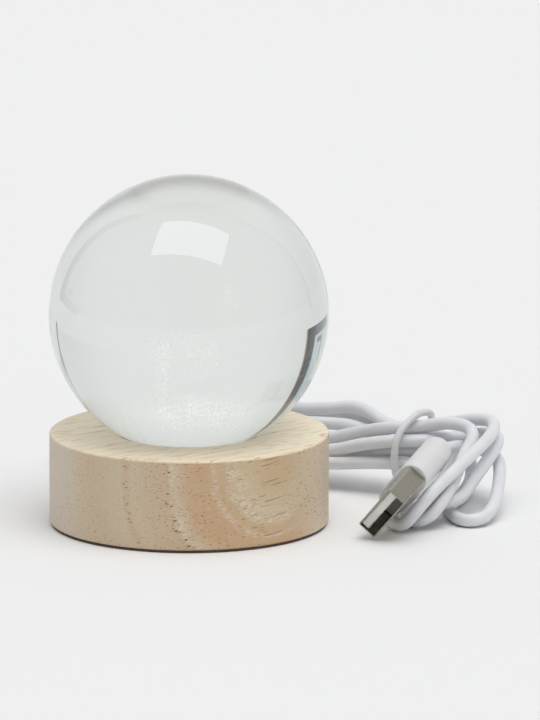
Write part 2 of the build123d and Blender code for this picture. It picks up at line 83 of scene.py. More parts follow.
class Value:
    """A number that comes out of a socket and that Python operators can work on."""

    def __init__(self, tree, socket):
        self.tree = tree
        self.socket = socket

    def _maths(self, operation, first, second):
        return self.tree.maths(operation, first, second)

    def into(self, socket):
        self.tree.feed(socket, self)

    def __add__(self, other):
        return self._maths("ADD", self, other)

    __radd__ = __add__

    def __mul__(self, other):
        return self._maths("MULTIPLY", self, other)

    __rmul__ = __mul__

    def __sub__(self, other):
        return self._maths("SUBTRACT", self, other)

    def __rsub__(self, other):
        return self._maths("SUBTRACT", other, self)

    def __pow__(self, other):
        return self._maths("POWER", self, other)

    def __lt__(self, other):
        return self._maths("LESS_THAN", self, other)

    def __abs__(self):
        return self._maths("ABSOLUTE", self, 0.0)


class Tree:
    """A node tree and short ways to fill it."""

    prefix = "ShaderNode"

    def __init__(self, tree):
        self.tree = tree

    def feed(self, socket, value):
        if isinstance(value, Value):
            self.tree.links.new(value.socket, socket)
        elif isinstance(value, tuple) and len(value) == 3 and socket.type == "RGBA":
            socket.default_value = (*value, 1.0)
        else:
            socket.default_value = value

    def node(self, kind, settings=None, sockets=None, out=0):
        """Add a node: its settings first, then a value or a link for each socket."""
        made = self.tree.nodes.new(kind if "Node" in kind else self.prefix + kind)
        for name, value in (settings or {}).items():
            if name == "stops":
                self.fill_ramp(made.color_ramp, value)
            else:
                setattr(made, name, value)
        for key, value in (sockets or {}).items():
            self.feed(made.inputs[key], value)
        return made if out is None else Value(self, made.outputs[out])

    def fill_ramp(self, ramp, stops):
        while len(ramp.elements) < len(stops):
            ramp.elements.new(0.5)
        for element, (place, colour) in zip(ramp.elements, stops):
            element.position = place
            element.color = (*colour, 1.0)

    def maths(self, operation, first, second=0.0):
        return self.node("ShaderNodeMath", {"operation": operation}, {0: first, 1: second})

    def angle(self, side, front):
        """Degrees from the front axis towards the side axis."""
        return self.maths("ARCTAN2", side, front) * (180 / math.pi)

    def ray(self, kind):
        """What the Light Path node tells of the ray that is being followed."""
        return self.node("LightPath", out=kind)

    def vector(self, x, y, z):
        return self.node("ShaderNodeCombineXYZ", None, {0: x, 1: y, 2: z})

    def parts(self, vector):
        """The three parts of a vector."""
        split = self.node("ShaderNodeSeparateXYZ", None, {0: vector}, out=None)
        return [Value(self, socket) for socket in split.outputs]

    def between(self, value, low, high, to_low=0.0, to_high=1.0):
        """A soft step from to_low at low to to_high at high."""
        return self.node("ShaderNodeMapRange", {"interpolation_type": "SMOOTHSTEP"}, {
            0: value, 1: low, 2: high, 3: to_low, 4: to_high})

    def mix(self, share, a, b):
        """Mix two colours."""
        return self.node("ShaderNodeMix", {"data_type": "RGBA"}, {0: share, 6: a, 7: b}, out=2)

    def noise(self, place, scale, detail=2.0, roughness=0.5):
        return self.node("ShaderNodeTexNoise", None, {
            "Vector": place, "Scale": scale, "Detail": detail, "Roughness": roughness})

    def cells(self, place, scale=1.0, out="Distance"):
        return self.node("ShaderNodeTexVoronoi", None, {"Vector": place, "Scale": scale}, out)


class Finish(Tree):
    """One material with a Principled shader; constants go straight on its sockets."""

    def __init__(self, name, **constants):
        self.material = bpy.data.materials.new(name)
        self.material.use_nodes = True
        super().__init__(self.material.node_tree)
        self.shader = self.tree.nodes["Principled BSDF"]
        self.set(**constants)

    def set(self, **sockets):
        for name, value in sockets.items():
            self.feed(self.shader.inputs[name.replace("_", " ")], value)
        return self

    def place(self, turns=(), stretch=(1, 1, 1), shift=(0, 0, 0)):
        """The point on the piece in millimetres: turned by degrees, then stretched and shifted."""
        point = self.node("TexCoord", out="Object")
        for turn in turns:
            angles = tuple(math.radians(a) for a in turn)
            point = self.node("Mapping", None, {0: point, "Rotation": angles})
        return self.node("Mapping", None, {
            0: point, "Location": shift, "Scale": tuple(s / MM for s in stretch)})

    def radius(self):
        """How far the point lies from the lamp's upright axis, in millimetres."""
        flat = self.place(stretch=(1, 1, 0))
        return self.node("VectorMath", {"operation": "LENGTH"}, {0: flat}, out="Value")

    def ramp(self, value, *stops):
        return self.node("ValToRGB", {"stops": stops}, {0: value})

    def bump(self, height, depth, strength=1.0):
        """Raise the surface by height times depth in metres."""
        return self.set(Normal=self.node("Bump", None, {
            "Strength": strength, "Distance": depth, "Height": height}))


def srgb(r, g, b):
    """Linear colour of a screen colour of 0 to 255."""
    def linear(c):
        c /= 255
        return c / 12.92 if c <= 0.04045 else ((c + 0.055) / 1.055) ** 2.4
    return (linear(r), linear(g), linear(b))


def dress(finish, *objects):
    """Give pieces one finish."""
    for obj in objects:
        obj.data.materials.clear()
        obj.data.materials.append(finish.material)
    print(finish.material.name, "on", ", ".join(obj.name for obj in objects))


# %% [markdown]
# ## The camera
# The photograph was taken with a long lens a little above the table. The plug's
# standard size gives the scale, and the base's ellipse gives the angle. The camera
# looks along +Y, and steps sideways and up until the base stands where it does there.

# %% Camera
SHOT_TILT = math.radians(12.2)
SHOT_DISTANCE = 2.5
PIXELS_PER_M = 4650.0
FRAME_W, FRAME_H = 540, 720
FOOT_PIXEL = (189.2, 522.0)        # where the middle of the base's underside lies in the frame
SENSOR = 36.0

camera_data = bpy.data.cameras.new("camera")
camera_data.sensor_width = SENSOR
camera_data.lens = PIXELS_PER_M * SHOT_DISTANCE * SENSOR / FRAME_H
camera_data.clip_start = 0.1
camera_data.clip_end = 50.0
camera = bpy.data.objects.new("camera", camera_data)
bpy.context.scene.collection.objects.link(camera)
bpy.context.scene.camera = camera
aim = Vector((0, math.cos(SHOT_TILT), -math.sin(SHOT_TILT)))
lift = Vector((0, math.sin(SHOT_TILT), math.cos(SHOT_TILT)))
aside = (FRAME_W / 2 - FOOT_PIXEL[0]) / PIXELS_PER_M
above = (FOOT_PIXEL[1] - FRAME_H / 2) / PIXELS_PER_M
camera.location = aim * -SHOT_DISTANCE + Vector((aside, 0, 0)) + lift * above
camera.rotation_euler = (math.pi / 2 - SHOT_TILT, 0, 0)
print("lens", round(camera_data.lens, 1), "camera at", [round(c, 3) for c in camera.location])

# %% [markdown]
# ## Floor and sky
# The picture has a plain pale sweep and a big soft light overhead. The floor is lit
# evenly by two broad suns and a weak sky, so it fills the frame without a horizon.
# The camera, mirrors and glass see the sky as that same pale paper ahead, and as a
# greyer room to the sides and behind the camera. That greyer room is what gives the
# ball its faint inner arc, and the plug's metal its depth. Seen through the ball, the
# floor is plain paper as well, with only a painted shadow behind the base and a
# painted shadow under the strands that run behind it.

# %% Floor and sky
PAPER, PAPER_EDGE = srgb(239, 239, 239), srgb(223, 223, 223)
PAPER_FADE = 15.0, 58.0                         # degrees aside: the paper falls to its edge tone
ROOM = (0.54, 0.55, 0.555)
ROOM_THROUGH_GLASS = (0.72, 0.73, 0.735)
SKY_LIGHT = (0.985, 0.99, 1.0)
SKY_STRENGTH = 0.50
BACKDROP_LEFT, BACKDROP_RIGHT = 45.5, -60.0     # degrees left of straight ahead
BACKDROP_TOP = 61.0                             # degrees above level

scene = bpy.context.scene
scene.view_settings.view_transform = "Standard"
world = bpy.data.worlds.new("studio")
scene.world = world
world.use_nodes = True
world.node_tree.nodes.clear()
sky = Tree(world.node_tree)
way = sky.parts(sky.node("TexCoord", out="Generated"))
to_left = sky.angle(0 - way[0], way[1])
upward = sky.angle(way[2], way[1])
on_paper = (sky.between(to_left, BACKDROP_LEFT, BACKDROP_LEFT + 1, 1, 0)
            * sky.between(to_left, BACKDROP_RIGHT - 1, BACKDROP_RIGHT, 0, 1)
            * sky.between(upward, BACKDROP_TOP, BACKDROP_TOP + 3, 1, 0))
paper_there = sky.mix(sky.between(abs(to_left), *PAPER_FADE), PAPER, PAPER_EDGE)
by_camera, by_mirror = sky.ray("Is Camera Ray"), sky.ray("Is Glossy Ray")
by_glass = sky.ray("Is Transmission Ray")
seen = sky.mix(on_paper, sky.mix(by_glass, ROOM, ROOM_THROUGH_GLASS), paper_there)
seen = sky.mix(by_camera, seen, PAPER)
straight = sky.ray("Diffuse Depth") < 0.5        # no diffuse surface lies on the way here
mirrored = sky.maths("MAXIMUM", by_mirror, by_glass) * straight
light_sky = sky.node("Background", None, {"Color": SKY_LIGHT, "Strength": SKY_STRENGTH})
seen_sky = sky.node("Background", None, {"Color": seen, "Strength": 1.0})
both = sky.node("MixShader", None, {
    0: sky.maths("MAXIMUM", mirrored, by_camera), 1: light_sky, 2: seen_sky})
sky.node("OutputWorld", None, {"Surface": both}, out=None)


def stage_mesh(name, corners, faces, finish):
    """A piece of the studio, not of the lamp."""
    mesh = bpy.data.meshes.new(name)
    mesh.from_pydata(corners, [], faces)
    made = bpy.data.objects.new(name, mesh)
    scene.collection.objects.link(made)
    dress(finish, made)
    return made


FLOOR_REACH = 6.0
# the tone of the painted shadows that the ball shows on the floor
PAINTED_SHADOW_TONE = (0.22, 0.23, 0.24)
STRAND_Y = 41.5            # where the strands behind the base lie, in millimetres
paper = Finish("floor", Base_Color=srgb(238, 238, 238), Roughness=1.0, Specular_IOR_Level=0.0)
floor_x, floor_y, _ = paper.parts(paper.place())
tone = paper.mix(paper.between(paper.angle(abs(floor_x), floor_y), *PAPER_FADE), PAPER, PAPER_EDGE)
# Painted shadows, seen only through the ball: a dark patch close behind the base and a thin dark
# line under the strands behind it.
painted_shadow_behind_base = (paper.between(floor_y, 34.0, 56.0, 0.62, 0.0) * paper.between(floor_y, -25.0, -5.0)
               * paper.between(floor_x, -48.0, -18.0))
painted_strand_shadow = (paper.between(abs(floor_y - STRAND_Y), 0.5, 1.5, 0.7, 0.0)
                 * paper.between(floor_x, 12.0, 18.0) * paper.between(floor_x, 64.0, 58.0))
tone = paper.mix(paper.maths("MAXIMUM", painted_shadow_behind_base, painted_strand_shadow), tone, PAINTED_SHADOW_TONE)
through_glass = paper.ray("Is Transmission Ray") * (paper.ray("Diffuse Depth") < 0.5)
seen_floor = paper.node("MixShader", None, {
    0: through_glass * paper.between(floor_x, 8.0, 16.0, 1.0, 0.6),
    1: Value(paper, paper.shader.outputs[0]), 2: paper.node("Emission", None, {"Color": tone})})
seen_floor.into(paper.tree.nodes["Material Output"].inputs[0])
floor_corners = [(x * FLOOR_REACH, y * FLOOR_REACH, 0)
                 for x, y in ((-1, -1), (1, -1), (1, 1), (-1, 1))]
stage_mesh("floor", floor_corners, [(0, 1, 2, 3)], paper)

# %% [markdown]
# ## Lamp and cards
# Two broad suns stand for one big soft lamp, and the second passes the ball without a
# shadow. Glass has no colour of its own: it shows what stands round it. So a few cards
# stand about the ball, out of the camera's sight, that only mirrors and glass see. A
# soft box overhead is what the ball reflects as a bent white window. A dark screen
# with a pale window beyond it stands far to the left, and the ball bends it into the
# crescent at its right edge. A thin dark edge at the right does the same on the left.
# Each card is placed by the direction in which the ball sees it.

# %% Lamp and cards


def broad_sun(name, energy, lean_front, lean_right, spread):
    """A wide soft sun; mirrors don't see it, because they see the soft box card instead."""
    data = bpy.data.lights.new(name, "SUN")
    data.energy = energy
    data.angle = math.radians(spread)
    lamp = bpy.data.objects.new(name, data)
    scene.collection.objects.link(lamp)
    lamp.rotation_euler = (math.radians(lean_front), math.radians(lean_right), 0)
    lamp.visible_glossy = False
    lamp.visible_transmission = False
    return lamp


broad_sun("overhead", energy=1.00, lean_front=14, lean_right=13, spread=42)
gathered = broad_sun("gathered_by_ball", energy=0.70, lean_front=0, lean_right=0, spread=62)
clear_pieces = bpy.data.collections.new("clear_pieces")
clear_pieces.objects.link(nodes["crystal_ball"])
gathered.light_linking.blocker_collection = clear_pieces
clear_pieces.collection_objects[0].light_linking.link_state = "EXCLUDE"


def turned(left, up, distance):
    """A point seen from the ball: degrees left of straight ahead and above level."""
    a, e = math.radians(left), math.radians(up)
    level = math.cos(e)
    return BALL_C + distance * Vector((-math.sin(a) * level, math.cos(a) * level, math.sin(e)))


def card(name, corners, colour, strength=1.0):
    """A card that only reflections and refractions see."""
    finish = Finish(name, Base_Color=(0, 0, 0), Roughness=1.0, Specular_IOR_Level=0.0,
                    Emission_Color=colour, Emission_Strength=strength)
    made = stage_mesh(name, corners, [tuple(range(len(corners)))], finish)
    made.visible_camera = False
    made.visible_diffuse = False
    made.visible_shadow = False
    return made


def upright(name, from_left, to_left, from_up, to_up, distance, colour):
    """An upright card between two directions; its distance keeps later cards in front."""
    a, b = turned(from_left, 0, distance), turned(to_left, 0, distance)
    low, high = (Vector((0, 0, distance * math.tan(math.radians(u)))) for u in (from_up, to_up))
    return card(name, [a + low, b + low, b + high, a + high], colour)


BOX_HEIGHT = 0.9
SOFT_BOX = [(-0.27, 0.10), (0.49, -0.03), (0.57, -0.70), (-0.57, -0.45)]    # per metre of height
box_corners = [BALL_C + BOX_HEIGHT * Vector((x, y, 1)) for x, y in SOFT_BOX]
soft_box = card("soft_box", box_corners, (1.0, 1.0, 1.0), strength=3.0)
soft_box.visible_transmission = False
SCREEN = 0.80              # metres from the ball
STAND_GREY = (0.06, 0.07, 0.08)
upright("room_window", 50, 78, -2.6, 58, SCREEN + 0.10, (0.50, 0.56, 0.57))
upright("room_window_far", 78, 110, -2.2, 58, SCREEN + 0.10, (0.56, 0.61, 0.61))
upright("screen_foot", 50, 78, -3.0, 1.0, SCREEN + 0.02, (0.070, 0.085, 0.10))
upright("screen", 45.9, 54.0, -3.1, 56, SCREEN, (0.012, 0.018, 0.026))
upright("screen_hem", 45.2, 46.3, -3.1, 56, SCREEN - 0.01, (0.36, 0.18, 0.06))
upright("stand_pole", 63.5, 65.0, 3.0, 14, SCREEN, STAND_GREY)
upright("stand_head", 57.5, 65.0, 2.5, 4.5, SCREEN, STAND_GREY)
upright("right_edge", -62.0, -59.8, -3.0, 58, SCREEN, (0.13, 0.14, 0.15))

# %% [markdown]
# ## The cord
# One metre of limp PVC cord, 2.8 mm thick, is folded to and fro and tied near one end.
# A curve with one NURBS spline is the natural tool: its control points pull the line
# round each corner without touching it, and the bevel gives the round section. The
# points are written in millimetres, turn by turn: a bend in front of the tie that falls
# to the table, and a long flat loop behind the base.

# %% Route of the cord
TIE_X = 46.5
WAIST = {              # y, z of the seven strands that the tie gathers
    "a": (27.0, 14.9), "b": (24.5, 12.4), "c": (27.2, 9.75), "d": (25.2, 7.2),
    "e": (30.5, 14.0), "f": (33.9, 12.8), "g": (30.7, 10.5),
}
LEAD_POINTS = [(0, 30, 5), (0, 38, 5), (-4.5, 43.5, 5), (-12.5, 45.5, 5)]
FIRST_TURN = [
    (-23.0, 46.0, 5.0), (-26.5, 52.5, 5.0), (-21.0, 57.5, 5.0), (-10.0, 57.0, 5.0),
    (3.0, 52.5, 5.0), (14.0, 46.0, 5.5), (22.0, 39.8, 5.9), (30.0, 33.6, 7.9),
    (37.0, 28.0, 10.8),
]
FRONT_TURNS = [        # strand out, strand back, and the bend in front of the tie
    ("b", "g", [
        (55.0, 25.8, 12.5), (61.5, 28.6, 13.0), (66.4, 27.0, 13.6), (67.0, 20.5, 13.1),
        (64.2, 13.0, 10.4), (61.4, 7.0, 8.0), (59.6, 2.4, 6.2), (57.9, -1.0, 5.1),
        (54.2, -2.3, 4.7), (51.1, -0.2, 4.6), (51.3, 4.6, 4.7), (53.0, 11.0, 4.9),
        (55.4, 17.5, 5.9), (57.8, 24.4, 8.5), (55.4, 30.7, 10.7),
    ]),
    ("e", "d", [
        (56.5, 30.4, 15.2), (61.6, 27.6, 16.6), (66.0, 23.0, 17.3), (65.6, 15.6, 16.0),
        (61.8, 7.0, 14.1), (56.4, -3.7, 11.6), (51.6, -9.4, 8.2), (48.3, -12.0, 4.6),
        (45.8, -11.2, 1.7), (43.6, -7.0, 1.5), (43.0, 0.0, 1.5), (44.0, 9.6, 1.5),
        (47.0, 15.0, 1.6), (50.4, 17.8, 2.0), (52.8, 20.4, 3.2), (53.4, 23.1, 4.8),
        (52.6, 25.1, 6.1), (50.3, 25.9, 6.6),
    ]),
    ("a", "c", [
        (55.0, 24.2, 16.6), (60.2, 21.0, 16.6), (61.6, 16.0, 15.4), (59.4, 10.2, 12.8),
        (57.8, 4.4, 10.5), (56.4, -1.9, 8.6), (54.4, -6.6, 6.05), (51.8, -8.4, 3.2),
        (48.6, -7.2, 1.6), (46.6, -3.2, 1.5), (47.0, 4.0, 1.5), (50.0, 11.2, 1.5),
        (54.8, 16.8, 1.6), (57.3, 23.8, 3.3), (54.3, 28.5, 7.9),
    ]),
]
FANS = [(1.1, 0.2), (0.7, 0.0), (0.7, -0.2)]      # how each returning strand spreads behind the tie
REAR_TURNS = [         # level, points in, far end, points out, lean and drop each way
    (12.2, [(36.5, 37.0, 13.0), (29.5, 39.8, 13.0)], (-21.4, 54.5),
     [(30.5, 41.9, 15.7), (37.0, 39.3, 17.2)], (0.8, 0.85), (1.35, 1.35)),
    (8.7, [(36.0, 28.2, 6.7), (29.5, 31.6, 5.7)], (-28.0, 55.5),
     [(29.5, 37.0, 9.9), (36.5, 32.6, 12.6)], (0.8, 0.85), (1.35, 2.0)),
    (1.5, [(36.0, 32.5, 7.9), (29.5, 38.6, 5.0)], (-27.0, 58.0),
     [(29.0, 46.4, 14.8), (36.5, 42.2, 13.8)], (0.45, 0.85), (3.0, 1.35)),
]
REAR_HALF_W = 5.8          # half the width of a loop behind the base
REAR_STEPS = (0.28, 0.55, 0.80)
FAR_RUN, FAR_CORNER = 5.0, 4.6          # how far short of the far end a strand stops and turns
CORNER_IN, STRAND_OUT = 0.4, 0.6        # how much closer in, or further out, than the half width
BESIDE_TIE, BACK_AT_TIE, BEHIND_TIE = 3.0, 1.5, 4.0
LAST_TURN = [
    (54.5, 34.2, 11.8), (60.4, 32.2, 8.6), (61.6, 25.4, 4.6), (58.9, 17.8, 1.5),
    (56.3, 10.5, 1.5), (56.0, 5.0, 1.5), (56.9, -0.4, 1.5), (58.4, -4.4, 1.5),
    (61.0, -5.9, 1.6), (63.8, -3.6, 2.0), (65.8, 2.4, 3.4), (66.8, 10.6, 6.0),
    (67.2, 18.6, 8.2), (66.4, 22.8, 9.3), (63.8, 25.4, 10.2), (60.6, 24.8, 11.0),
    (58.9, 21.0, 12.0),
]
PLUG_RUN = [(57.4, 16.4, 12.9), (55.4, 11.8, 13.5)]
PLUG_MOUTH = Vector((41.2, -20.1, 6.4))
PLUG_YAW, PLUG_PITCH = math.radians(66.8), math.radians(13.7)
PLUG_LENGTH = 28.0
PLUG_STRAIGHT = 3.0        # the cord runs straight into the grip for this far
plug_level = math.cos(PLUG_PITCH)
plug_back = Vector((plug_level * math.cos(PLUG_YAW), plug_level * math.sin(PLUG_YAW),
                    math.sin(PLUG_PITCH)))


def strand(name, x, dy=0.0, dz=0.0):
    """A point of one strand beside the tie."""
    y, z = WAIST[name]
    return (x, y + dy, z + dz)


def blend(a, b, t):
    return a + (b - a) * t


def ease(a, b, t):
    t = min(1.0, t)
    return blend(a, b, t * t * (3 - 2 * t))


def rear_turn(level, going, far, coming, lean, drop):
    """One loop of the hank behind the base: along it, round the far end and back."""
    far_x, far_y = far
    near_in, near_out = going[-1], coming[0]
    points = list(going)
    for t in REAR_STEPS:
        y = blend(near_in[1], far_y - REAR_HALF_W, t ** lean[0])
        x = blend(near_in[0], far_x + FAR_RUN, t)
        points.append((x, y, ease(near_in[2], level, t * drop[0])))
    points += [(far_x + FAR_CORNER, far_y - REAR_HALF_W + CORNER_IN, level), (far_x, far_y, level),
               (far_x + FAR_CORNER, far_y + REAR_HALF_W, level)]
    for t in reversed(REAR_STEPS):
        y = blend(near_out[1], far_y + REAR_HALF_W + STRAND_OUT, t ** lean[1])
        x = blend(near_out[0], far_x + FAR_RUN, t)
        points.append((x, y, ease(near_out[2], level, t * drop[1])))
    return points + list(coming)


def cord_points():
    """The whole route, from the back of the base to the plug's grip."""
    points = LEAD_POINTS + FIRST_TURN
    for (out, back, bend), rear, (dy, dz) in zip(FRONT_TURNS, REAR_TURNS, FANS):
        points += [strand(out, TIE_X - BESIDE_TIE), strand(out, TIE_X + BESIDE_TIE), *bend]
        points += [strand(back, TIE_X + BACK_AT_TIE), strand(back, TIE_X - BEHIND_TIE, dy, dz)]
        points += rear_turn(*rear)
    points += [strand("f", TIE_X - BESIDE_TIE, 1.0, 0.2), strand("f", TIE_X + BESIDE_TIE, 0, -0.3)]
    points += LAST_TURN + PLUG_RUN
    grip_end = PLUG_MOUTH + plug_back * PLUG_LENGTH
    return points + [tuple(grip_end + plug_back * PLUG_STRAIGHT), tuple(grip_end)]


# %% Cord and tie as curves


def tube_along(name, points, diameter):
    """A round tube on one open NURBS spline; the points are in millimetres."""
    data = bpy.data.curves.new(name, "CURVE")
    data.dimensions = "3D"
    spline = data.splines.new("NURBS")
    spline.points.add(len(points) - 1)
    for point, place in zip(spline.points, points):
        point.co = (*(c * MM for c in place), 1.0)
    spline.order_u = 3
    spline.use_endpoint_u = True
    spline.resolution_u = 8
    data.bevel_depth = diameter / 2
    data.bevel_resolution = 5
    data.use_fill_caps = True
    made = bpy.data.objects.new(name, data)
    scene.collection.objects.link(made)
    return made


def centre_length(points, steps=16):
    """Length in metres of the quadratic spline that the points pull."""
    stops = [Vector(p) for p in points]
    total, last = 0.0, stops[0]
    for i in range(1, len(stops) - 1):
        a = stops[0] if i == 1 else (stops[i - 1] + stops[i]) / 2
        b = stops[-1] if i == len(stops) - 2 else (stops[i] + stops[i + 1]) / 2
        for k in range(1, steps + 1):
            t = k / steps
            here = a * (1 - t) ** 2 + stops[i] * (2 * t * (1 - t)) + b * t * t
            total += (here - last).length
            last = here
    return total * MM


route = cord_points()
cord = tube_along("cord", route, CORD_D)
CORD_LENGTH = centre_length(route)
print("cord points", len(route), "length", round(CORD_LENGTH, 3))

TIE_POINTS = [
    (49.0, 33.5, 5.2), (47.0, 28.2, 5.3), (45.6, 25.6, 4.0), (44.7, 22.6, 4.8),
    (44.3, 21.6, 8.0), (44.4, 21.5, 12.6), (46.2, 23.4, 15.8), (49.6, 26.6, 18.2),
    (51.8, 30.8, 17.5), (52.6, 35.2, 15.8), (52.4, 38.2, 12.2), (51.2, 36.4, 8.6),
    (51.3, 33.2, 7.3), (51.4, 31.4, 3.8),
]
tie = tube_along("tie_wire", TIE_POINTS, TIE_D)

# %% [markdown]
# ## The glass ball
# A ball of solid crystal is the simplest material here: a Principled shader with full
# transmission, no roughness and the refraction of crown glass. Real glass of this
# thickness swallows a little light and leans to green, so its colour is a pale
# grey-green. Cycles gives glass a solid shadow, where a real ball gathers the light
# into a pool under itself. So one of the two suns takes no notice of the ball.

# %% Crystal
GREEN_GREY_GLASS = (0.850, 0.885, 0.862)
crystal = Finish("crystal", Base_Color=GREEN_GREY_GLASS, Roughness=0.0, IOR=1.5,
                 Transmission_Weight=1.0)
dress(crystal, nodes["crystal_ball"])

# %% [markdown]
# ## The engraved haze
# Inside the ball a laser has burnt thousands of specks into the glass. They show as a
# faint glitter: a low disc, a hollow column above it, a stem that joins the two and a
# thin trail that rises at the right. The glitter is a painted glow: the specks emit
# light. Geometry Nodes suit this: points get random places inside a soft shape, each
# gets a tiny turned facet, and noise thins the cloud into wisps. The seeds are fixed,
# so each run is the same.

# %% Haze as geometry nodes


class Growth(Tree):
    """A Geometry Nodes group with named inputs."""

    prefix = "GeometryNode"

    def __init__(self, name, **inputs):
        super().__init__(bpy.data.node_groups.new(name, "GeometryNodeTree"))
        self.inputs = []           # identifier and value of each named input
        face = self.tree.interface
        face.new_socket("Geometry", in_out="OUTPUT", socket_type="NodeSocketGeometry")
        self.entry = self.tree.nodes.new("NodeGroupInput")
        self.exit = self.tree.nodes.new("NodeGroupOutput")
        for label, (kind, value) in inputs.items():
            socket = face.new_socket(label, in_out="INPUT", socket_type="NodeSocket" + kind)
            self.inputs.append((socket.identifier, value))

    def given(self, label):
        return Value(self, self.entry.outputs[label])

    def random(self, low, high, seed):
        return self.node("FunctionNodeRandomValue", {"data_type": "FLOAT"}, {
            2: low, 3: high, "Seed": seed}, out=1)

    def finish_with(self, geometry, finish):
        real = self.node("RealizeInstances", None, {0: geometry})
        made = self.node("SetMaterial", None, {"Geometry": real, "Material": finish.material})
        self.feed(self.exit.inputs[0], made)

    def grow(self, name):
        """Run the group on an empty mesh and return the result as a plain object."""
        seed_bed = bpy.data.objects.new(name + "_bed", bpy.data.meshes.new(name + "_bed"))
        scene.collection.objects.link(seed_bed)
        modifier = seed_bed.modifiers.new(name, "NODES")
        modifier.node_group = self.tree
        for identifier, value in self.inputs:
            modifier[identifier] = value
        bpy.context.view_layer.update()
        evaluated = seed_bed.evaluated_get(bpy.context.evaluated_depsgraph_get())
        mesh = bpy.data.meshes.new_from_object(evaluated)
        mesh.name = name
        bpy.data.objects.remove(seed_bed, do_unlink=True)
        made = bpy.data.objects.new(name, mesh)
        scene.collection.objects.link(made)
        print(name, "faces", len(mesh.polygons))
        return made


SPECK_SIZE = 0.042 * MM
# Painted glow: the specks emit light in tones from dim to bright.
SPECK_GLOW_DIM, SPECK_GLOW_BRIGHT = (0.55, 0.58, 0.57), (1.0, 1.0, 1.0)
speck_finish = Finish("engraved_speck", Base_Color=(0.95, 0.97, 0.96), Roughness=0.6,
                      Specular_IOR_Level=0.2, Emission_Strength=0.75)
# Painted glints: noise sets how brightly each part of the cloud glows.
painted_glint = speck_finish.noise(speck_finish.place(), 3.0)
speck_finish.set(
    Emission_Color=speck_finish.ramp(painted_glint, (0.35, SPECK_GLOW_DIM), (0.65, SPECK_GLOW_BRIGHT)),
    Alpha=speck_finish.between(painted_glint, 0.25, 0.6, 0.22, 0.62))


def haze(name, count, middle, spread, ring, seed):
    """A cloud of specks: middle and spread in millimetres, ring the share that is empty inside."""
    cloud = Growth(name, Count=("Int", count), Size=("Float", SPECK_SIZE))
    angle = cloud.random(0.0, 2 * math.pi, seed)
    out = (cloud.random(ring, 1.0, seed + 1) ** 0.6) * cloud.random(0.55, 1.0, seed + 2)
    up = (cloud.random(-1.0, 1.0, seed + 3) + cloud.random(-1.0, 1.0, seed + 4)) * (0.5 * spread[2])
    up = up * (1.3 - out * 0.65)                 # the cloud thins out towards its edge
    x = cloud.maths("COSINE", angle) * out * spread[0] + middle[0]
    y = cloud.maths("SINE", angle) * out * spread[1] + middle[1]
    place = cloud.vector(x * MM, y * MM, (up + middle[2]) * MM)
    points = cloud.node("Points", None, {"Count": cloud.given("Count"), "Position": place})
    wisps = cloud.noise(cloud.node("InputPosition"), 380.0, 3.0, 0.6)
    points = cloud.node("DeleteGeometry", None, {
        "Geometry": points, "Selection": wisps < cloud.random(0.34, 0.62, seed + 5)})
    facet = cloud.node("MeshCone", None, {
        "Vertices": 3, "Radius Top": 0.0, "Radius Bottom": 1.0, "Depth": 1.2})
    turn = cloud.node("FunctionNodeRandomValue", {"data_type": "FLOAT_VECTOR"}, {
        1: (6.3, 6.3, 6.3), "Seed": seed + 6})
    size = cloud.given("Size") * cloud.random(0.5, 1.4, seed + 7)
    specks = cloud.node("InstanceOnPoints", None, {
        "Points": points, "Instance": facet, "Rotation": turn, "Scale": size})
    cloud.finish_with(specks, speck_finish)
    made = cloud.grow(name)
    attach(made, "ball")


HAZE_Z = BALL_C.z / MM
haze("engraved_disc", 9600, (0.8, 0.0, HAZE_Z - 14.2), (10.8, 9.0, 3.0), 0.0, 11)
haze("engraved_column", 3000, (-0.4, 0.0, HAZE_Z - 5.8), (6.4, 5.4, 4.4), 0.45, 31)
haze("engraved_stem", 400, (-3.8, 0.0, HAZE_Z - 10.0), (1.4, 1.4, 3.4), 0.0, 51)
haze("engraved_trail", 480, (5.9, 0.0, HAZE_Z + 1.0), (1.6, 1.6, 5.8), 0.0, 71)

# %% [markdown]
# ## Wood for the turned base
# The base is pale rubberwood, turned from a flat board. Its fibres lie level and run
# from the front left to the back right, so its left side shows the ends of the pores
# as dots, its right side and its top show them as short ticks, and the growth rings
# cross it as upright bands that close into an arch where the turning grazes a ring.
# The top is painted paler than the turned side: painted light, for the light that falls
# straight on it. Its pores lie level: they have a pattern of their own. The two ends of
# the side are paler, partly the wood's own tone and partly painted light; just above
# the pad the wood is darkened a little as painted shade, and a thin warm line along
# the top edge is a painted highlight.
# An image wrapped round the base couldn't do that. The finish is solid instead: every
# pattern is worked out in the wood itself, in millimetres along and across the fibres.

# %% Wood
LEVEL_GRAIN = [(0, 0, -38.0)]                # brings the fibres, 38 degrees from +X, onto X
GRAIN = LEVEL_GRAIN + [(0, 7.0, 0)]          # the fibres also climb a little to the right
RING_BENDS = 0.00045, 0.0007                 # how fast the inner and the outer rings curve
RING_REACH = 32.0                            # the ramp of rings runs this far to either side
CREAM, TAN, PINK = srgb(207, 186, 151), srgb(201, 174, 138), srgb(202, 168, 132)
# The two end tones are partly the wood's own tone and partly painted light.
PALE, GREY_END_AND_LIGHT, FAR_END_AND_LIGHT = srgb(222, 211, 191), srgb(216, 208, 195), srgb(226, 212, 190)
# The palest tone here is painted light for the top.
FIBRE, STREAK, TOP_PAINTED_LIGHT = srgb(205, 178, 146), srgb(206, 182, 148), srgb(253, 241, 216)
PORE, FLECK = srgb(154, 102, 68), srgb(126, 72, 42)
# The rim tone is a painted highlight, and the foot tone is painted shade.
RIM_HIGHLIGHT, FOOT_SHADE = srgb(214, 172, 126), srgb(170, 124, 90)

wood = Finish("rubberwood", Roughness=0.62, Specular_IOR_Level=0.25)


